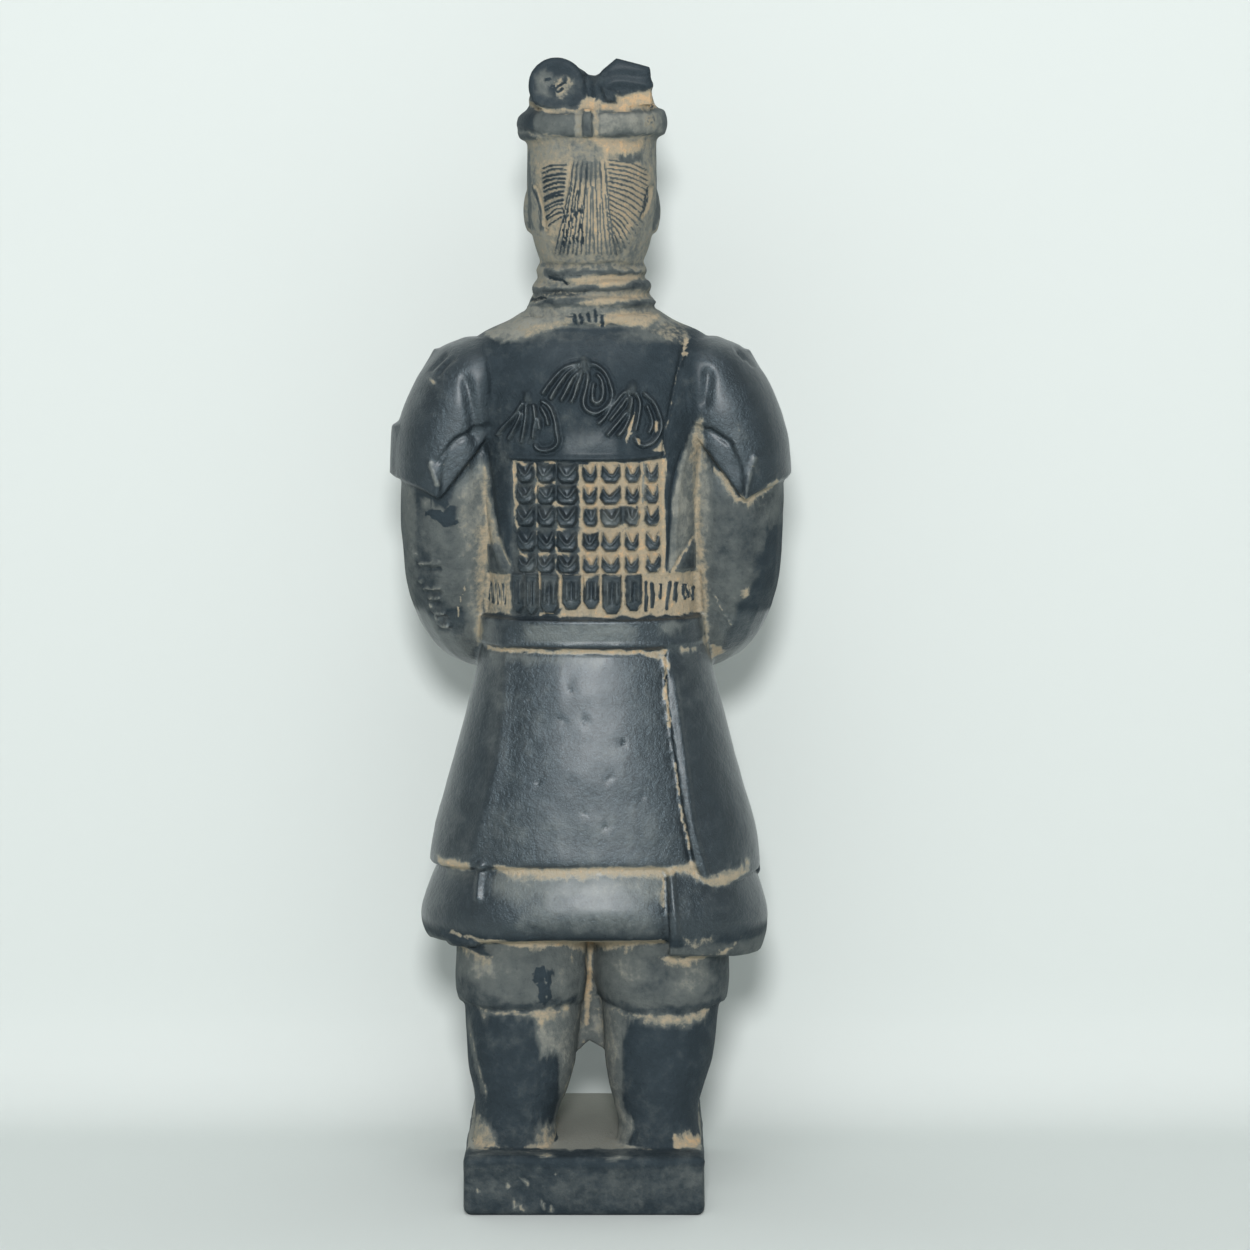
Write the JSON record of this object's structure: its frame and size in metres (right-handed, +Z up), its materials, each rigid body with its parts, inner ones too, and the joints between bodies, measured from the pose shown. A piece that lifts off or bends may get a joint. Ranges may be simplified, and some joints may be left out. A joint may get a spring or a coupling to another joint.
{
  "type": "terracotta warrior statue",
  "caption": "Small fired clay figure of an armoured general with joined hands, moulded in one piece with its low block, for display on a shelf or table.",
  "frame": {"origin": "middle of the underside of the block that the figure stands on", "axes": "+Z up, +Y the way the figure faces, +X to the figure's right"},
  "size_m": [0.0702, 0.0493, 0.2001],
  "materials": {
    "burnished_clay": "blue black slip burnished to a soft sheen, with tan clay dust in the recesses"
  },
  "bodies": {
    "root": {"terracotta_warrior": "burnished_clay"}
  },
  "joints": []
}
